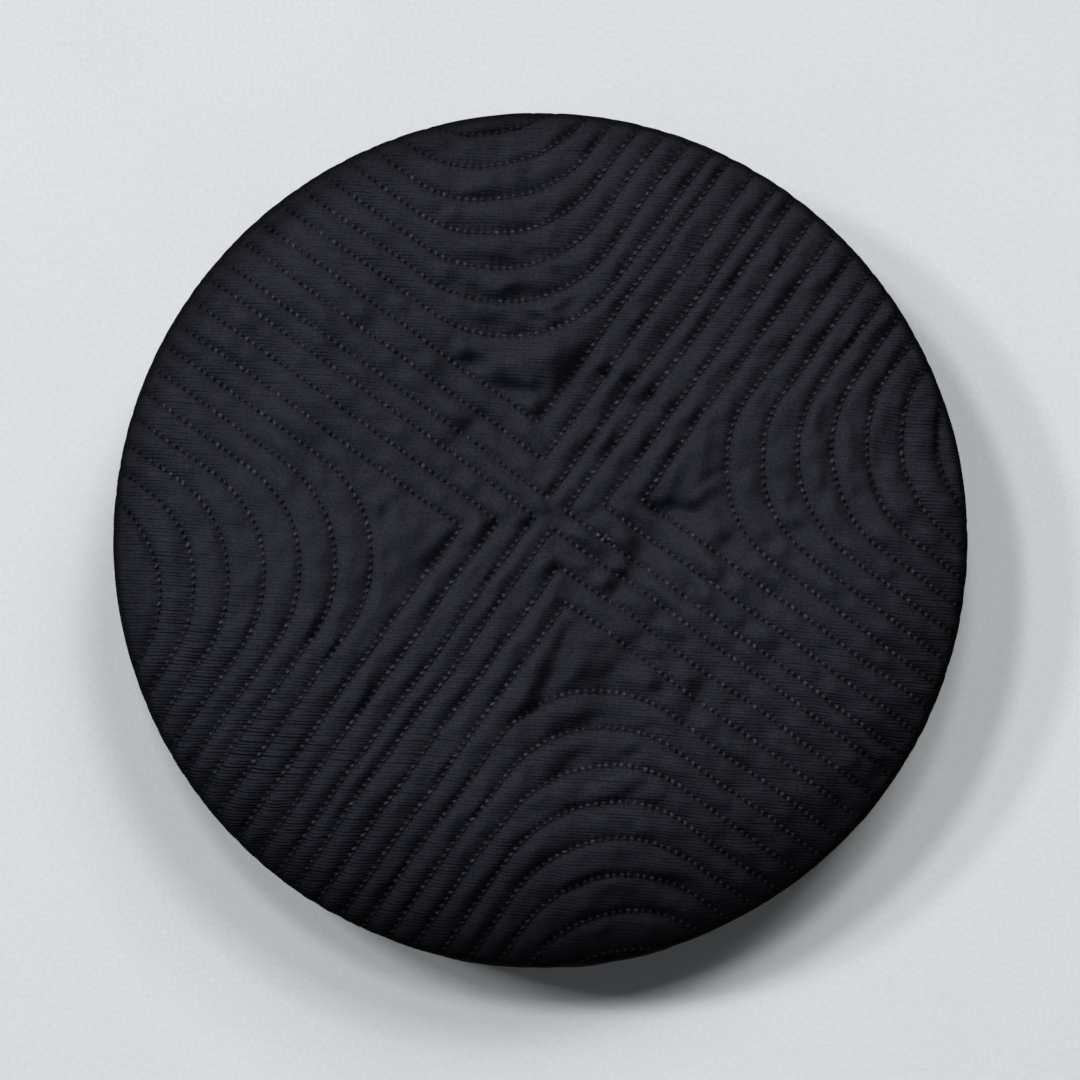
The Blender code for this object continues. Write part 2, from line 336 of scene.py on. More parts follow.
# The cloth: two shades of dye, noises as (turns to a metre, detail) or with turns to a metre along each
# axis, and ranges as (least noise, most noise, share there, share there). Slubs push the weave's grooves
# aside, and patches and streaks make them fainter.
CROWN_DYES = ((0.0170, 0.0199, 0.0300), (0.0240, 0.0219, 0.0295))
BAND_DYES = ((0.0163, 0.0194, 0.0292), (0.0226, 0.0211, 0.0285))
DYE_NOISE = (260.0, 5.0)
DYE_RANGE = (0.30, 0.70, 0.25, 0.75)
MOTTLE_NOISE = (1500.0, 3.0)
NAP_NOISE = (2300.0, 3.0)
PATCH_NOISE = (45.0, 2.0)
PATCH_RANGE = (0.34, 0.56, 0.6, 1.0)
STREAK_TURNS = (180.0, 1500.0, 180.0)
STREAK_RANGE = (0.36, 0.64, 0.15, 1.2)
SLUB_TURNS = (60.0, 700.0, 60.0)
SLUB_PUSH = 4.8
FIBRE_TURNS = (900.0, 2600.0, 900.0)
STRETCHED_DETAIL = 2.0
GROOVE_HEIGHT = -4.0
BUMP_DISTANCE = 0.000034

# How much each makes the cloth lighter or darker: (times its own value, plus)
NAP_TONE = (1.3, -0.15)
MOTTLE_TONE = (1.2, -0.10)
# The weave's grooves are painted darker: painted shade in them
GROOVE_PAINTED_SHADE = (-0.62, 1.12)

# The thread, where few stitches come near its lighter colour
DARK_THREAD = (0.0180, 0.0178, 0.0252)
LIGHT_THREAD = (0.0540, 0.0525, 0.0655)
LIGHT_THREAD_POWER = 3.0

# The floor: two colours with a broad noise between them, and a fine grain
FLOOR_SIZE = 4.0
FLOOR_COLOURS = ((0.72, 0.75, 0.77), (0.79, 0.81, 0.825))
FLOOR_NOISE = (18.0, 6.0)
GRAIN_NOISE = (1100.0, 2.0)
GRAIN_TONE = (0.16, 0.92)

# Shader values: (roughness, specular level)
CLOTH_SHEEN = (0.82, 0.12)
THREAD_SHEEN = (0.70, 0.20)
FLOOR_ROUGHNESS = 0.9

# Camera: nearly straight down, a little from the front. PICTURE_WIDTH is what it takes in at its target.
CAMERA_ELEVATION = radians(86.5)
CAMERA_DISTANCE = 0.95
CAMERA_TARGET = (-0.0002, 0.0001, 0.0690)
PICTURE_WIDTH = 0.2280
SENSOR_WIDTH = 36.0

# Weak even light from all round
SKY_COLOUR = (0.9, 0.95, 1.0, 1.0)
SKY_STRENGTH = 0.07

# Lights that fall on the cap alone: (name, azimuth in degrees, elevation in degrees, distance, size,
# power in watts, colour)
CAP_LIGHTS = (
    ("key", 131.0, 42.0, 2.6, 1.0, 49.5, (1.0, 0.92, 0.91)),
    ("fill", 45.0, 50.0, 0.8, 0.6, 1.15, (1.0, 0.96, 0.89)),
    ("window", 180.0, 45.0, 0.55, 0.4, 0.85, (0.5, 0.76, 1.0)),
)

# Lights that fall on the floor alone: (azimuth in degrees, elevation in degrees, size, power in watts)
FLOOR_LIGHT_DISTANCE = 1.6
FLOOR_LIGHTS = (
    (165.0, 68.0, 0.10, 4.5),
    (150.0, 76.0, 0.10, 6.6),
    (105.0, 83.0, 0.10, 4.8),
    (60.0, 76.0, 0.19, 5.2),
    (60.0, 68.0, 0.38, 3.2),
    (235.0, 80.0, 0.10, 0.4),
)
FLOOR_LIGHT_COLOUR = (1.0, 1.0, 1.0)


def unit(bearing):
    """The two parts of a unit vector at a bearing."""
    return np.cos(bearing), np.sin(bearing)


def quilting_rows():
    """Every stitched row as (corner x, corner y, bearing, corner radius)."""
    rows = []
    for bearing, first, step, radius, sideways, count in ROUNDED_ROWS:
        turn = PATTERN_TURN + radians(bearing)
        corners = [(FIRST_SHARP_CORNER + SHARP_CORNER_STEP * row, 0.0, 0.0) for row in range(SHARP_ROWS)]
        corners += [(first + step * row, radius, sideways) for row in range(count)]
        for distance, corner_radius, shift in corners:
            x = PATTERN_CENTRE[0] + distance * cos(turn) - shift * sin(turn)
            y = PATTERN_CENTRE[1] + distance * sin(turn) + shift * cos(turn)
            rows.append((x, y, turn, corner_radius))
    return rows


def row_points(row, along, aside):
    """Places on the flat panel along a row, counted from the middle of its corner and moved aside."""
    x, y, turn, radius = row
    side = np.where(along < 0.0, -1.0, 1.0)
    bend = np.minimum(np.abs(along), radius * pi / 4.0) / radius if radius else pi / 4.0
    beyond = np.maximum(0.0, np.abs(along) - radius * pi / 4.0)
    spoke = unit(turn + pi - side * bend)
    leg = unit(turn + side * pi / 4.0)
    centre_distance = radius * sqrt(2.0)
    px = x + centre_distance * cos(turn) + (radius - aside) * spoke[0] + beyond * leg[0]
    py = y + centre_distance * sin(turn) + (radius - aside) * spoke[1] + beyond * leg[1]
    return px, py


def row_distance(row, px, py):
    """Distance of many places from one row: the nearest of its two legs and its corner's arc."""
    x, y, turn, radius = row
    nearest = np.full(px.shape, np.inf)
    for side in (-1.0, 1.0):
        leg = unit(turn + side * pi / 4.0)
        dx = px - x - radius * leg[0]
        dy = py - y - radius * leg[1]
        along = np.maximum(0.0, dx * leg[0] + dy * leg[1])
        nearest = np.minimum(nearest, np.hypot(dx - along * leg[0], dy - along * leg[1]))
    if radius:
        dx = px - x - radius * sqrt(2.0) * cos(turn)
        dy = py - y - radius * sqrt(2.0) * sin(turn)
        bearing = (np.arctan2(dy, dx) - turn) % (2.0 * pi) - pi
        on_arc = np.abs(bearing) <= pi / 4.0
        gap = np.abs(np.hypot(dx, dy) - radius)
        nearest = np.where(on_arc, np.minimum(nearest, gap), nearest)
    return nearest


def rows_distance(rows, px, py):
    """Distance of many places from the nearest row."""
    nearest = np.full(px.shape, np.inf)
    for row in rows:
        nearest = np.minimum(nearest, row_distance(row, px, py))
    return nearest


def lumps(px, py, form):
    """Smooth unevenness with lumps of one length, width and height, lying along the folds."""
    long, wide, height, place = form
    run = unit(FOLD_BEARING)
    along = (px * run[0] + py * run[1]) / long
    across = (py * run[0] - px * run[1]) / wide
    return height * np.array([noise.noise(Vector((u, v, place))) for u, v in zip(along, across)])


def pressed(px, py):
    """How deep the creases are at many places."""
    depth = np.zeros(px.shape)
    for x, y, bearing, half_length, half_width, deep in CREASES:
        run = unit(radians(bearing))
        along = (px - x) * run[0] + (py - y) * run[1]
        across = (py - y) * run[0] - (px - x) * run[1]
        depth += deep * np.exp(-((along / half_length) ** 2) - (across / half_width) ** 2)
    return depth


def eased(share):
    """A share from 0 to 1 that starts and ends gently."""
    share = np.clip(share, 0.0, 1.0)
    return share * share * (3.0 - 2.0 * share)


def grown(distance, start, full):
    """A share that grows gently from 0 at one distance to 1 at another."""
    return eased((distance - start) / (full - start))


def left(least, share):
    """A share that never falls under a least one."""
    return least + (1.0 - least) * share


def edge_form(bearing):
    """The edge at a bearing: dome power, slope and distance where it rounds over, rounding, arc, drop."""
    front = 0.5 + 0.5 * np.cos(bearing - FRONT_BEARING)
    power = BACK_POWER + (FRONT_POWER - BACK_POWER) * front
    slope = BACK_SLOPE + (FRONT_SLOPE - BACK_SLOPE) * front
    rounding = BACK_ROUNDING + (FRONT_ROUNDING - BACK_ROUNDING) * front
    start = CROWN_RADIUS - RIB_CREST - rounding * (1.0 - np.sin(slope))
    arc = rounding * (pi / 2.0 - slope)
    drop = DOME_TOP - np.tan(slope) * start / power - rounding * np.cos(slope) - SEAM_HEIGHT
    return power, slope, start, rounding, arc, drop


def panel_edge(bearing):
    """How far the flat panel reaches at a bearing."""
    _, _, start, _, arc, drop = edge_form(bearing)
    return start + arc + drop


def crown_profile(reach, bearing):
    """Radius, height and outward normal on the crown's bare form, by distance along the cloth."""
    power, end_slope, start, rounding, arc, drop = edge_form(bearing)
    share = np.minimum(reach / start, 1.0)
    turned = np.clip(reach - start, 0.0, arc) / rounding
    down = np.clip(reach - start - arc, 0.0, drop)
    slope = np.arctan(np.tan(end_slope) * share ** (power - 1.0)) + turned
    rolled = turned > 0.0
    radius = np.minimum(reach, start) + rounding * (np.sin(slope) - np.sin(end_slope)) * rolled
    radius -= SEAM_TUCK * down / drop
    height = DOME_TOP - np.tan(end_slope) * start / power * share ** power
    height += rounding * (np.cos(slope) - np.cos(end_slope)) * rolled - down
    return radius, height, np.sin(slope), np.cos(slope)


def swell(distance):
    """Share of a rib's height at a distance from its nearest stitches."""
    return np.sin(pi / 2.0 * np.minimum(1.0, distance / RIB_SHOULDER)) ** 2


def edge_share(px, py):
    """0 on the crown's top, growing to 1 round its edge."""
    _, _, start, _, arc, _ = edge_form(np.arctan2(py, px))
    return np.clip((np.hypot(px, py) - start) / arc, 0.0, 1.0)


def front_rim(px, py):
    """0 on the crown's top, growing to 1 along the front part of its rim."""
    ahead = np.maximum(0.0, np.cos(np.arctan2(py, px) - FRONT_BEARING)) ** FRONT_RIM_NARROW
    return ahead * grown(np.hypot(px, py), *FRONT_RIM)


def room_to_edge(px, py):
    """Distance left on the flat panel to its edge."""
    return panel_edge(np.arctan2(py, px)) - np.hypot(px, py)


def slack(px, py):
    """How slack the stitching is at many places: 0 in two opposite arms of the pattern, 1 in the others."""
    bearing = np.arctan2(py - PATTERN_CENTRE[1], px - PATTERN_CENTRE[0])
    return np.abs(np.cos(bearing - SLACK_SIDE)) ** SLACK_NARROW


def unevenness_share(dx, dy):
    """How much lumpier the padding is at places counted from the pattern's centre: 1 where it is plain."""
    share = np.ones(dx.shape)
    for side, added in LUMPY_SIDES:
        share += added * np.maximum(0.0, np.cos(np.arctan2(dy, dx) - side))
    return share


def crown_rise(px, py, distance):
    """Height of the padded cloth over the bare form."""
    top_share = (1.0 - edge_share(px, py)) ** 2 * (1.0 - FRONT_RIM_FLAT * front_rim(px, py))
    dx, dy = px - PATTERN_CENTRE[0], py - PATTERN_CENTRE[1]
    across_share = np.sin(np.arctan2(dy, dx) - FOLD_BEARING) ** 2
    middle_share = np.exp(-((np.hypot(dx, dy) / FOLD_REACH) ** 2))
    uneven = unevenness_share(dx, dy)

    puff = swell(distance / (1.0 + lumps(px, py, SHOULDERS)))
    pulled = (1.0 + lumps(px, py, PULLS) * top_share) * (1.0 - SLACK_RIBS * slack(px, py))
    rise = RIB_CREST - RIB_RISE * pulled * (1.0 - puff) * left(EDGE_RIBS, top_share)
    rise += POCKET[0] * eased((distance - RIB_SHOULDER) / POCKET[1]) * top_share
    puckered = puff * left(EDGE_PUCKERS, top_share) * left(FAR_PUCKERS, middle_share) * uneven
    rise += lumps(px, py, PUCKERS) * puckered
    rise += lumps(px, py, FOLDS) * across_share * middle_share * uneven * top_share
    rise += lumps(px, py, WAVES) * top_share
    rise -= pressed(px, py)
    return rise * np.clip(room_to_edge(px, py) / SEAM_FADE, 0.0, 1.0)


def hole_depth(px, py):
    """Depth of a needle hole, less where the cloth is pulled smooth, round the edge and at the front rim."""
    return HOLE_DEPTH * (1.0 - EDGE_SMOOTH * np.maximum(edge_share(px, py), front_rim(px, py)))


def wandered(px, py):
    """Places moved a little aside, because no seam runs quite true."""
    room = np.clip(room_to_edge(px, py) / WANDER_X[0], 0.0, 1.0)
    return px + room * lumps(px, py, WANDER_X), py + room * lumps(px, py, WANDER_Y)


def raised(px, py, rise):
    """Places of the flat panel put on the dome, lifted along its normal."""
    px, py = wandered(px, py)
    bearing = np.arctan2(py, px)
    radius, height, normal_out, normal_up = crown_profile(np.hypot(px, py), bearing)
    radius = radius + rise * normal_out
    return np.column_stack((radius * np.cos(bearing), radius * np.sin(bearing), height + rise * normal_up))


def crown_row_stitches(row, shake):
    """Distances along one crown row of its stitches and holes, every half stitch."""
    count = round(2.0 * ROW_REACH / STITCH_PITCH)
    index = np.arange(-count, count + 1)
    return index, index * STITCH_PITCH / 2.0 + shake.uniform(-STITCH_JITTER, STITCH_JITTER, index.size)


def panel_places(rows, columns, field):
    """Places on the flat panel: columns of points beside each row and an even field between them."""
    shake = np.random.default_rng(SHAKE_SEED)
    xs, ys, holes = [], [], []
    margin = STITCH_PITCH / 4.0
    for row in rows:
        index, along = crown_row_stitches(row, shake)
        for aside, spacing, at_hole, at_stitch in columns:
            # A column that skips points has them at needle holes
            chosen = (index + (1 if spacing > 1 else 0)) % spacing == 0
            px, py = row_points(row, along[chosen], aside)
            hole = np.where(index[chosen] % 2 == 1, at_hole, at_stitch)
            keep = room_to_edge(px, py) > margin
            px, py, hole = px[keep], py[keep], hole[keep]
            keep = rows_distance(rows, px, py) >= abs(aside) * COLUMN_SHARE
            xs.append(px[keep])
            ys.append(py[keep])
            holes.append(hole[keep])
    step, clear = field
    count = int(PANEL_REACH / step) + 1
    tall = count + FIELD_MARGIN
    column, line = np.meshgrid(np.arange(-count, count + 1), np.arange(-tall, tall + 1))
    px = (column + 0.5 * (line % 2)).ravel() * step
    py = line.ravel() * step * sqrt(3.0) / 2.0
    keep = room_to_edge(px, py) > margin
    px, py = px[keep], py[keep]
    keep = rows_distance(rows, px, py) > clear
    xs.append(px[keep])
    ys.append(py[keep])
    holes.append(np.zeros(keep.sum()))
    return np.concatenate(xs), np.concatenate(ys), np.concatenate(holes)


def panel_triangles(px, py):
    """The places joined into triangles, with the rim's ring of points added first."""
    bearing = np.arange(RIM_POINTS) * 2.0 * pi / RIM_POINTS
    reach = panel_edge(bearing)
    rim_x, rim_y = reach * np.cos(bearing), reach * np.sin(bearing)
    points = list(zip(np.concatenate((rim_x, px)), np.concatenate((rim_y, py))))
    ring = [(index, (index + 1) % RIM_POINTS) for index in range(RIM_POINTS)]
    flat, _, faces, origins, _, _ = delaunay_2d_cdt(points, ring, [], 0, MERGE_DISTANCE)
    source = np.array([origin[0] for origin in origins])
    flat = np.array([tuple(point) for point in flat])
    return flat, np.array(faces), source


def crown_side(rows, columns, field):
    """One side of the crown: flat places, triangles, hole shares and distances to the rows."""
    px, py, holes = panel_places(rows, columns, field)
    flat, faces, source = panel_triangles(px, py)
    holes = np.concatenate((np.zeros(RIM_POINTS), holes))[source]
    distance = rows_distance(rows, flat[:, 0], flat[:, 1])
    rim = np.empty(RIM_POINTS, dtype=int)
    on_rim = np.nonzero(source < RIM_POINTS)[0]
    rim[source[on_rim]] = on_rim
    return flat, faces, holes, distance, rim


def new_piece(name, points, faces, material):
    """A smooth-shaded mesh object."""
    mesh = bpy.data.meshes.new(name)
    mesh.from_pydata(points, [], faces)
    mesh.shade_smooth()
    mesh.materials.append(material)
    piece = bpy.data.objects.new(name, mesh)
    bpy.context.scene.collection.objects.link(piece)
    return piece


def set_values(piece, name, kind, values):
    """Give each point of a piece a named value."""
    attribute = piece.data.attributes.new(name, kind, "POINT")
    key = "vector" if kind == "FLOAT_VECTOR" else "value"
    attribute.data.foreach_set(key, np.ascontiguousarray(values, dtype=np.float32).ravel())


def crown_painted_shade(flat, holes):
    """Share of the colour kept under painted shade and light: by the table, in needle holes and creases."""
    reach = np.hypot(flat[:, 0], flat[:, 1])
    bearing = np.arctan2(flat[:, 1], flat[:, 0])
    shade = 1.0 - HOLE_PAINTED_SHADE * holes ** HOLE_PAINTED_SHADE_POWER * (1.0 - front_rim(flat[:, 0], flat[:, 1]))
    for side_bearing, narrow, start, full, all_round, besides in PAINTED_SHADES:
        side = np.maximum(0.0, np.cos(bearing - radians(side_bearing))) ** narrow
        shade *= 1.0 - (all_round + besides * side) * grown(reach, start, full)
    creased = np.clip(pressed(flat[:, 0], flat[:, 1]) / CREASE_DEEP, 0.0, 1.0)
    return shade * (1.0 - CREASE_PAINTED_SHADE * creased)


def weave_share(flat):
    """How plainly the ribbed weave shows: least in the crown's middle, where the nap lies over it."""
    share = np.full(len(flat), WEAVE_LEAST)
    for bearing, start, full, added in WEAVE_SHOWS:
        run = unit(radians(bearing))
        along = flat[:, 0] * run[0] + flat[:, 1] * run[1]
        share += added * grown(along, start, full)
    return share


def build_crown(rows, material):
    """The quilted top panel: outer side, plainer inner side and the narrow foot that joins them."""
    flat, faces, holes, distance, rim = crown_side(rows, OUTER_COLUMNS, OUTER_FIELD)
    holes = holes * (1.0 - SLACK_HOLES * slack(flat[:, 0], flat[:, 1]))
    rise = crown_rise(flat[:, 0], flat[:, 1], distance) - hole_depth(flat[:, 0], flat[:, 1]) * holes
    outer = raised(flat[:, 0], flat[:, 1], rise)

    in_flat, in_faces, in_holes, in_distance, in_rim = crown_side(rows, INNER_COLUMNS, INNER_FIELD)
    in_rise = crown_rise(in_flat[:, 0], in_flat[:, 1], in_distance)
    puff = swell(in_distance)
    share = edge_share(in_flat[:, 0], in_flat[:, 1])
    wall = STITCH_WALL + (RIB_WALL - STITCH_WALL) * puff
    wall += (SEAM_WALL - wall) * share
    inner = raised(in_flat[:, 0], in_flat[:, 1], in_rise - wall)

    shift = len(outer)
    foot = []
    for index in range(RIM_POINTS):
        after = (index + 1) % RIM_POINTS
        foot.append((rim[index], in_rim[index] + shift, in_rim[after] + shift, rim[after]))
    all_faces = faces.tolist() + (in_faces[:, ::-1] + shift).tolist() + foot
    crown = new_piece("crown_cloth", np.concatenate((outer, inner)).tolist(), all_faces, material)
    place = np.zeros((len(outer) + len(inner), 3))
    place[:shift, :2] = flat
    place[shift:, :2] = in_flat
    set_values(crown, "cloth_place", "FLOAT_VECTOR", place)
    # Painted shade and light, as a value on each point
    shade = np.concatenate((crown_painted_shade(flat, holes), crown_painted_shade(in_flat, in_holes)))
    set_values(crown, "shade", "FLOAT", shade)
    set_values(crown, "weave", "FLOAT", np.concatenate((weave_share(flat), weave_share(in_flat))))
    return crown


def stitch_template():
    """One stitch: points as (along, across, up, lift) in shares of its size, and faces."""
    points = []
    for along, girth, lift in STITCH_SECTIONS:
        for side in range(STITCH_SIDES):
            turn = 2.0 * pi * side / STITCH_SIDES
            points.append((along, girth * cos(turn), girth * sin(turn), lift))
    last = len(points) - STITCH_SIDES
    faces = [tuple(range(STITCH_SIDES)), tuple(reversed(range(last, len(points))))]
    for low in range(0, last, STITCH_SIDES):
        high = low + STITCH_SIDES
        for side in range(STITCH_SIDES):
            after = (side + 1) % STITCH_SIDES
            faces.append((low + side, high + side, high + after, low + after))
    return np.array(points), faces


def build_stitches(name, centres, directions, normals, shade, material):
    """Many stitches as one mesh: each lies a little across its row and dives into the cloth at both ends."""
    template, faces = stitch_template()
    shake = np.random.default_rng(SHAKE_SEED)
    count = len(centres)
    slant = (STITCH_SLANT + shake.uniform(-STITCH_SLANT_SHAKE, STITCH_SLANT_SHAKE, count))[:, None]
    long_share = shake.uniform(*STITCH_SIZES, count)[:, None]
    wide_share = shake.uniform(*STITCH_SIZES, count)[:, None]
    tone = shake.random(count)
    sides = np.cross(normals, directions)
    run = directions * np.cos(slant) - sides * np.sin(slant)
    across = directions * np.sin(slant) + sides * np.cos(slant)
    points = []
    for along, wide, thick, lift in template:
        points.append(centres
                      + run * along * long_share * STITCH_LENGTH / 2.0
                      + across * wide * wide_share * STITCH_WIDTH / 2.0
                      + normals * (thick * STITCH_THICKNESS / 2.0 + lift * STITCH_THICKNESS))
    points = np.stack(points, axis=1).reshape(-1, 3)
    all_faces = []
    for stitch in range(count):
        base = stitch * len(template)
        all_faces.extend(tuple(base + corner for corner in face) for face in faces)
    stitches = new_piece(name, points.tolist(), all_faces, material)
    set_values(stitches, "tone", "FLOAT", np.repeat(tone, len(template)))
    set_values(stitches, "shade", "FLOAT", np.repeat(shade, len(template)))
    return stitches


def normalised(vectors):
    """Vectors made one unit long."""
    return vectors / np.linalg.norm(vectors, axis=1, keepdims=True)


def laid(px, py, ahead_x, ahead_y, lift):
    """Centres, directions and outward normals of stitches on the crown, each aimed at a place ahead."""
    centre = raised(px, py, lift)
    above = raised(px, py, lift + SMALL_STEP)
    ahead = raised(ahead_x, ahead_y, lift)
    return centre, normalised(ahead - centre), normalised(above - centre)


def crown_stitches(rows, material):
    """Thread along every row of the crown, on the outer side, and a few loose ends."""
    shake = np.random.default_rng(SHAKE_SEED)
    groups, shades = [], []
    for row in rows:
        index, along = crown_row_stitches(row, shake)
        along = along[index % 2 == 0]
        px, py = row_points(row, along, 0.0)
        others = [other for other in rows if other is not row]
        keep = (room_to_edge(px, py) > STITCH_PITCH / 2.0) & (rows_distance(others, px, py) > STITCH_WIDTH)
        along, px, py = along[keep], px[keep], py[keep]
        lift = crown_rise(px, py, np.zeros(px.shape)) - hole_depth(px, py) * ROW_HOLES[1]
        lift += STITCH_THICKNESS * (STITCH_PROUD - EDGE_SINK * edge_share(px, py))
        groups.append(laid(px, py, *row_points(row, along + SMALL_STEP, 0.0), lift))
        # The thread takes the cloth's painted shade, and more painted shade towards the rim
        start, full, rim_shade_share = THREAD_RIM_PAINTED_SHADE
        rim_painted_shade = rim_shade_share * grown(np.hypot(px, py), start, full)
        shades.append(crown_painted_shade(np.column_stack((px, py)), np.zeros(px.shape)) * (1.0 - rim_painted_shade))
    px, py, bearing = np.array(LOOSE_ENDS).T
    run = unit(np.radians(bearing) + STITCH_SLANT)
    lift = crown_rise(px, py, rows_distance(rows, px, py)) + STITCH_THICKNESS * STITCH_PROUD
    groups.append(laid(px, py, px + run[0] * SMALL_STEP, py + run[1] * SMALL_STEP, lift))
    shades.append(np.full(len(LOOSE_ENDS), LOOSE_SHADE))
    centres, directions, normals = (np.concatenate(parts) for parts in zip(*groups))
    return build_stitches("crown_stitches", centres, directions, normals, np.concatenate(shades), material)


def band_radius(height):
    """Radius over the ribs of the band's outer face, which flares a little towards the hem."""
    return HEM_RADIUS + (CROWN_RADIUS - HEM_RADIUS) * height / BAND_HEIGHT


def band_rows():
    """Heights of the band's stitched rows, from the seam down to the hem's own row."""
    room = BAND_HEIGHT - HEM_ROW_HEIGHT
    count = round(room / BAND_ROW_SPACING)
    return [BAND_HEIGHT - room * row / count for row in range(1, count + 1)]


def depth_beside(offset):
    """How deep the band's outer face lies under its rib line, at a distance from a stitched row."""
    return RIB_RISE * (1.0 - float(swell(offset)))


def hem_corner(turn):
    """Height and inset on the hem's rounded corner, by its turn from level in degrees."""
    return HEM_CORNER * (1.0 - sin(radians(turn))), HEM_CORNER * (1.0 - cos(radians(turn)))


def outer_levels(edges):
    """Levels of the band's outer face, from the seam down to the foot."""
    offset, tuck_share, crest_share = UNDER_SEAM
    levels = [(BAND_HEIGHT, SEAM_TUCK + RIB_CREST, 0.0, 0.0),
              (BAND_HEIGHT - offset, SEAM_TUCK * tuck_share + RIB_CREST * crest_share, 0.0, 0.0)]
    for above, below in zip(edges, edges[1:]):
        for offset, _, _ in BESIDE_LEVELS[1:]:
            levels.append((above - offset, depth_beside(offset), 0.0, 0.0))
        levels.append(((above + below) / 2.0, 0.0, 0.0, 0.0))
        for offset, at_hole, at_stitch in reversed(BESIDE_LEVELS):
            levels.append((below + offset, depth_beside(offset), at_hole, at_stitch))
        levels.append((below, RIB_RISE, *ROW_HOLES))
        under_row = BESIDE_LEVELS if below == edges[-1] else BESIDE_LEVELS[:1]
        for offset, at_hole, at_stitch in under_row:
            levels.append((below - offset, depth_beside(offset), at_hole, at_stitch))
    for height in HEM_OUTER_HEIGHTS:
        levels.append((height, 0.0, 0.0, 0.0))
    for turn in OUTER_CORNER_TURNS:
        levels.append((*hem_corner(turn), 0.0, 0.0))
    return levels


def inner_levels(edges):
    """Levels of the band's inner face, from the seam down to the foot."""
    levels = [(BAND_HEIGHT, SEAM_TUCK + RIB_CREST + SEAM_WALL, 0.0, 0.0)]
    for above, below in zip(edges, edges[1:]):
        for offset in INNER_OFFSETS:
            puff = swell(min(offset, above - below - offset))
            levels.append((above - offset, RIB_WALL - INNER_THINNER * (1.0 - puff), 0.0, 0.0))
        levels.append((below, RIB_RISE + STITCH_WALL, 0.0, 0.0))
    for height in HEM_INNER_HEIGHTS:
        levels.append((height, HEM_WALL, 0.0, 0.0))
    for turn in INNER_CORNER_TURNS:
        height, inset = hem_corner(turn)
        levels.append((height, HEM_WALL - inset, 0.0, 0.0))
    return levels


def band_levels():
    """Levels round the band's section as (height, depth from the rib line, hole share, hole share
    between), and how many of them are on the outer face."""
    edges = [BAND_HEIGHT] + band_rows()
    outer = outer_levels(edges)
    return outer + inner_levels(edges)[::-1], len(outer)


def band_noise(bearing, height, length):
    """Smooth noise round the band at one height."""
    ring_x, ring_y = HEM_RADIUS * np.cos(bearing), HEM_RADIUS * np.sin(bearing)
    return np.array([noise.noise(Vector((x, y, height)) / length) for x, y in zip(ring_x, ring_y)])


def band_unevenness(bearing, height, rise_share):
    """Small waves of the band's wall, which die away at the seam and at the foot."""
    steady = sqrt(sin(pi * height / BAND_HEIGHT)) if 0.0 < height < BAND_HEIGHT else 0.0
    broad = BAND_WAVES[1] * band_noise(bearing, height, BAND_WAVES[0])
    fine = BAND_LUMPS[1] * band_noise(bearing, height, BAND_LUMPS[0]) * rise_share
    from_seam = (bearing - BACK_SEAM_BEARING) * HEM_RADIUS
    seam = BACK_SEAM_DEPTH * np.exp(-((from_seam / BACK_SEAM_WIDTH) ** 2))
    return steady * (broad + fine - seam)


def build_band(material):
    """The upright wall and its folded hem, as one closed ring."""
    levels, outer_count = band_levels()
    bearing = np.arange(BAND_COLUMNS) * 2.0 * pi / BAND_COLUMNS
    odd = np.arange(BAND_COLUMNS) % 2 == 1
    points, places, holes = [], [], []
    for number, (height, depth, at_hole, at_stitch) in enumerate(levels):
        puff = 1.0 - min(1.0, depth / RIB_RISE) if number < outer_count else INNER_LUMPS
        hole = np.where(odd, at_hole, at_stitch)
        radius = band_radius(height) - depth - HOLE_DEPTH * hole + band_unevenness(bearing, height, puff)
        points.append(np.column_stack((radius * np.cos(bearing), radius * np.sin(bearing),
                                       np.full(BAND_COLUMNS, height))))
        places.append(np.column_stack((bearing * HEM_RADIUS, np.full(BAND_COLUMNS, height),
                                       np.zeros(BAND_COLUMNS))))
        holes.append(hole)
    count = len(levels)
    faces = []
    for level in range(count):
        low, high = level * BAND_COLUMNS, (level + 1) % count * BAND_COLUMNS
        for column in range(BAND_COLUMNS):
            after = (column + 1) % BAND_COLUMNS
            faces.append((low + column, high + column, high + after, low + after))
    band = new_piece("band_cloth", np.concatenate(points).tolist(), faces, material)
    set_values(band, "cloth_place", "FLOAT_VECTOR", np.concatenate(places))
    # Painted shade in the band's needle holes
    set_values(band, "shade", "FLOAT", 1.0 - HOLE_PAINTED_SHADE * np.concatenate(holes) ** HOLE_PAINTED_SHADE_POWER)
    set_values(band, "weave", "FLOAT", np.ones(count * BAND_COLUMNS))
    return band


def band_stitches(material):
    """Thread along every row of the band, on the outer side."""
    bearing = np.arange(0, BAND_COLUMNS, 2) * 2.0 * pi / BAND_COLUMNS
    away = np.abs(bearing - BACK_SEAM_BEARING) * HEM_RADIUS > BACK_SEAM_WIDTH
    bearing = bearing[away]
    centres, directions, normals = [], [], []
    for height in band_rows():
        radius = band_radius(height) - RIB_RISE + band_unevenness(bearing, height, 0.0)
        radius += STITCH_THICKNESS * STITCH_PROUD - HOLE_DEPTH * ROW_HOLES[1]
        out = np.column_stack((np.cos(bearing), np.sin(bearing), np.zeros(bearing.size)))
        around = np.column_stack((-np.sin(bearing), np.cos(bearing), np.zeros(bearing.size)))
        centre = out * radius[:, None]
        centre[:, 2] = height
        centres.append(centre)
        directions.append(around)
        normals.append(out)
    centres = np.concatenate(centres)
    return build_stitches("band_stitches", centres, np.concatenate(directions), np.concatenate(normals),
                          np.ones(len(centres)), material)


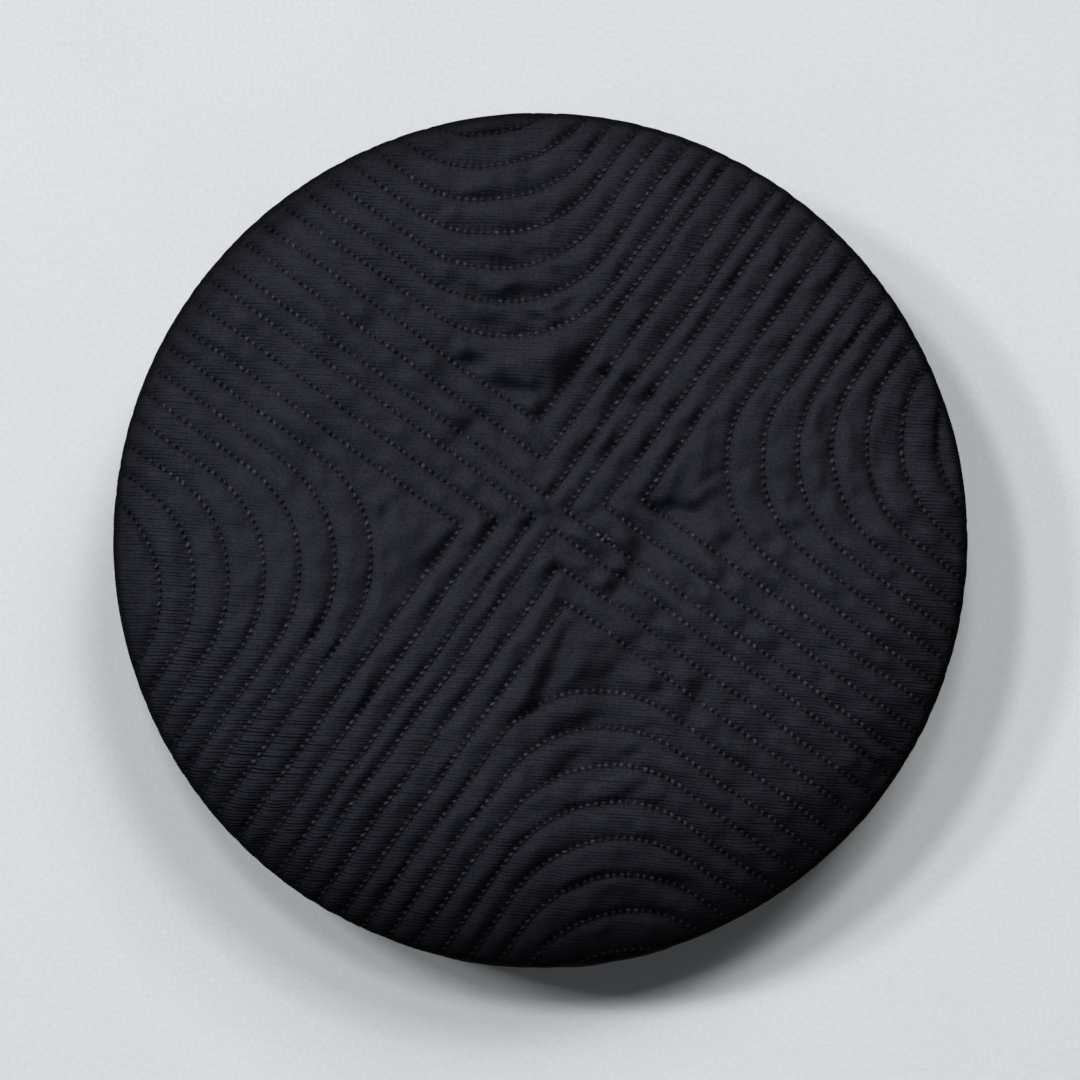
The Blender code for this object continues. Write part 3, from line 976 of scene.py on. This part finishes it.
class Nodes:
    """Short helper that adds shader nodes to one material and links them."""

    def __init__(self, name):
        """Start a material with its own shader."""
        self.material = bpy.data.materials.new(name)
        self.material.use_nodes = True
        self.tree = self.material.node_tree
        self.shader = self.tree.nodes["Principled BSDF"]

    def add(self, kind, **settings):
        """A new node with some of its settings."""
        node = self.tree.nodes.new(kind)
        for key, value in settings.items():
            setattr(node, key, value)
        return node

    def put(self, node, **values):
        """Give inputs, named with _ for a space, a value or a link."""
        for key, value in values.items():
            socket = node.inputs[key.replace("_", " ")]
            if isinstance(value, bpy.types.NodeSocket):
                self.tree.links.new(value, socket)
            else:
                socket.default_value = value
        return node

    def noise(self, place, turns, detail):
        """Smooth noise at a place, about 0 to 1, with so many turns to a metre."""
        node = self.add("ShaderNodeTexNoise")
        self.put(node, Vector=place, Scale=turns, Detail=detail)
        return node.outputs["Fac"]

    def long_noise(self, place, turns):
        """Smooth noise with its own number of turns to a metre along each axis."""
        mapping = self.add("ShaderNodeMapping")
        self.put(mapping, Vector=place, Scale=turns)
        return self.noise(mapping.outputs["Vector"], 1.0, STRETCHED_DETAIL)

    def given(self, name, output="Fac"):
        """A named value of the piece."""
        return self.add("ShaderNodeAttribute", attribute_name=name).outputs[output]

    def stretched(self, value, low, high, new_low, new_high):
        """A value stretched from one range to another and kept inside it."""
        node = self.add("ShaderNodeMapRange")
        self.put(node, Value=value, From_Min=low, From_Max=high, To_Min=new_low, To_Max=new_high)
        return node.outputs["Result"]

    def blended(self, share, first, second):
        """A colour between two colours."""
        node = self.add("ShaderNodeMix", data_type="RGBA")
        self.tree.links.new(share, node.inputs["Factor"])
        colours = [socket for socket in node.inputs if socket.type == "RGBA"]
        colours[0].default_value = (*first, 1.0)
        colours[1].default_value = (*second, 1.0)
        return [socket for socket in node.outputs if socket.type == "RGBA"][0]

    def shaded(self, colour, share):
        """Give the shader a colour, made darker or lighter by a share."""
        scaled = self.add("ShaderNodeVectorMath", operation="SCALE")
        self.tree.links.new(colour, scaled.inputs[0])
        self.tree.links.new(share, scaled.inputs["Scale"])
        self.tree.links.new(scaled.outputs["Vector"], self.shader.inputs["Base Color"])

    def sheen(self, roughness, specular):
        """Give the shader its roughness and specular level."""
        self.shader.inputs["Roughness"].default_value = roughness
        self.shader.inputs["Specular IOR Level"].default_value = specular

    def math(self, operation, first, second=0.0, third=0.0):
        """The result of one operation on values or links."""
        node = self.add("ShaderNodeMath", operation=operation)
        for socket, value in zip(node.inputs, (first, second, third)):
            if isinstance(value, bpy.types.NodeSocket):
                self.tree.links.new(value, socket)
            else:
                socket.default_value = value
        return node.outputs[0]


def cloth_material(name, dyes, slant):
    """Dull ribbed cloth: thin broken grooves across the panel, a short nap and slightly varied dye."""
    nodes = Nodes(name)
    place = nodes.given("cloth_place", "Vector")
    mapping = nodes.add("ShaderNodeMapping")
    nodes.put(mapping, Vector=place, Rotation=(0.0, 0.0, slant))
    turned = mapping.outputs["Vector"]
    parts = nodes.add("ShaderNodeSeparateXYZ")
    nodes.put(parts, Vector=turned)

    groove_turn = nodes.math("MULTIPLY", parts.outputs["Y"], 2.0 * pi / WEAVE_PITCH)
    groove_turn = nodes.math("MULTIPLY_ADD", nodes.long_noise(turned, SLUB_TURNS), SLUB_PUSH, groove_turn)
    groove = nodes.math("MULTIPLY_ADD", nodes.math("SINE", groove_turn), 0.5, 0.5)
    groove = nodes.math("MULTIPLY", groove, groove)
    streak = nodes.stretched(nodes.long_noise(turned, STREAK_TURNS), *STREAK_RANGE)
    patch = nodes.stretched(nodes.noise(place, *PATCH_NOISE), *PATCH_RANGE)
    strength = nodes.math("MULTIPLY", nodes.math("MULTIPLY", patch, nodes.given("weave")), streak)
    groove = nodes.math("MULTIPLY", groove, strength)

    height = nodes.math("MULTIPLY_ADD", groove, GROOVE_HEIGHT, nodes.long_noise(place, FIBRE_TURNS))
    bump = nodes.add("ShaderNodeBump")
    nodes.put(bump, Strength=1.0, Distance=BUMP_DISTANCE, Height=height)
    nodes.put(nodes.shader, Normal=bump.outputs["Normal"])

    dye = nodes.stretched(nodes.noise(place, *DYE_NOISE), *DYE_RANGE)
    nap = nodes.math("MULTIPLY_ADD", nodes.noise(turned, *NAP_NOISE), *NAP_TONE)
    mottle = nodes.math("MULTIPLY_ADD", nodes.noise(place, *MOTTLE_NOISE), *MOTTLE_TONE)
    tone = nodes.math("ADD", nap, mottle)
    # Painted shade darkens the weave's grooves
    tone = nodes.math("MULTIPLY", tone, nodes.math("MULTIPLY_ADD", groove, *GROOVE_PAINTED_SHADE))
    # The piece's painted shade and light, given on each point, darkens or lightens the cloth
    tone = nodes.math("MULTIPLY", tone, nodes.given("shade"))
    nodes.shaded(nodes.blended(dye, *dyes), tone)
    nodes.sheen(*CLOTH_SHEEN)
    return nodes.material


def thread_material():
    """Smooth twisted thread, a little glossier than the cloth; some stitches catch more light."""
    nodes = Nodes("thread")
    share = nodes.math("POWER", nodes.given("tone"), LIGHT_THREAD_POWER)
    # Painted shade from the cloth and towards the rim darkens the thread; loose ends are made lighter
    nodes.shaded(nodes.blended(share, DARK_THREAD, LIGHT_THREAD), nodes.given("shade"))
    nodes.sheen(*THREAD_SHEEN)
    return nodes.material


def floor_material():
    """Pale, slightly mottled plaster."""
    nodes = Nodes("pale floor")
    place = nodes.add("ShaderNodeTexCoord").outputs["Object"]
    grain = nodes.math("MULTIPLY_ADD", nodes.noise(place, *GRAIN_NOISE), *GRAIN_TONE)
    nodes.shaded(nodes.blended(nodes.noise(place, *FLOOR_NOISE), *FLOOR_COLOURS), grain)
    nodes.put(nodes.shader, Roughness=FLOOR_ROUGHNESS)
    return nodes.material


def build_floor():
    """The plain pale surface that the cap stands on. It throws no light back on the cap."""
    bpy.ops.mesh.primitive_plane_add(size=FLOOR_SIZE, location=(0.0, 0.0, 0.0))
    floor = bpy.context.object
    floor.name = "floor"
    floor.data.materials.append(floor_material())
    floor.visible_diffuse = False
    floor.visible_glossy = False
    return floor


def area_light(name, azimuth, elevation, distance, size, power, colour):
    """A square soft light over the cap, aimed at it. Angles are in degrees."""
    data = bpy.data.lights.new(name, "AREA")
    data.size = size
    data.energy = power
    data.color = colour
    light = bpy.data.objects.new(name, data)
    bpy.context.scene.collection.objects.link(light)
    around, up = radians(azimuth), radians(elevation)
    out = Vector((cos(around) * cos(up), sin(around) * cos(up), sin(up)))
    light.location = Vector((0.0, 0.0, SEAM_HEIGHT)) + out * distance
    light.rotation_mode = "QUATERNION"
    light.rotation_quaternion = out.to_track_quat("Z", "Y")
    return light


def link_light(light, objects):
    """Let a light fall on these objects alone."""
    receivers = bpy.data.collections.new(light.name + " falls on")
    for lit in objects:
        receivers.objects.link(lit)
    light.light_linking.receiver_collection = receivers


def build_camera():
    """The photograph's view: nearly straight down, the crown filling most of the frame."""
    data = bpy.data.cameras.new("camera")
    data.sensor_width = SENSOR_WIDTH
    data.lens = SENSOR_WIDTH * CAMERA_DISTANCE / PICTURE_WIDTH
    camera = bpy.data.objects.new("camera", data)
    bpy.context.scene.collection.objects.link(camera)
    back = Vector((0.0, -cos(CAMERA_ELEVATION), sin(CAMERA_ELEVATION)))
    camera.location = Vector(CAMERA_TARGET) + back * CAMERA_DISTANCE
    camera.rotation_mode = "QUATERNION"
    camera.rotation_quaternion = back.to_track_quat("Z", "Y")
    bpy.context.scene.camera = camera


def build_world():
    """Very weak even light from all round."""
    world = bpy.data.worlds.new("studio")
    world.use_nodes = True
    background = world.node_tree.nodes["Background"]
    background.inputs["Color"].default_value = SKY_COLOUR
    background.inputs["Strength"].default_value = SKY_STRENGTH
    bpy.context.scene.world = world


rows = quilting_rows()
crown_cloth = build_crown(rows, cloth_material("crown cloth", CROWN_DYES, WEAVE_SLANT))
band_cloth = build_band(cloth_material("band cloth", BAND_DYES, 0.0))
thread = thread_material()
crown_thread = crown_stitches(rows, thread)
band_thread = band_stitches(thread)
floor = build_floor()

for piece in (crown_cloth, band_cloth, crown_thread, band_thread):
    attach(piece, "root")
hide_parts("crown")
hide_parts("band")

for cap_light in CAP_LIGHTS:
    link_light(area_light(*cap_light), (crown_cloth, band_cloth, crown_thread, band_thread))
for azimuth, elevation, size, power in FLOOR_LIGHTS:
    light = area_light("sky", azimuth, elevation, FLOOR_LIGHT_DISTANCE, size, power, FLOOR_LIGHT_COLOUR)
    link_light(light, (floor,))
build_camera()
build_world()
bpy.context.scene.view_settings.view_transform = "Standard"
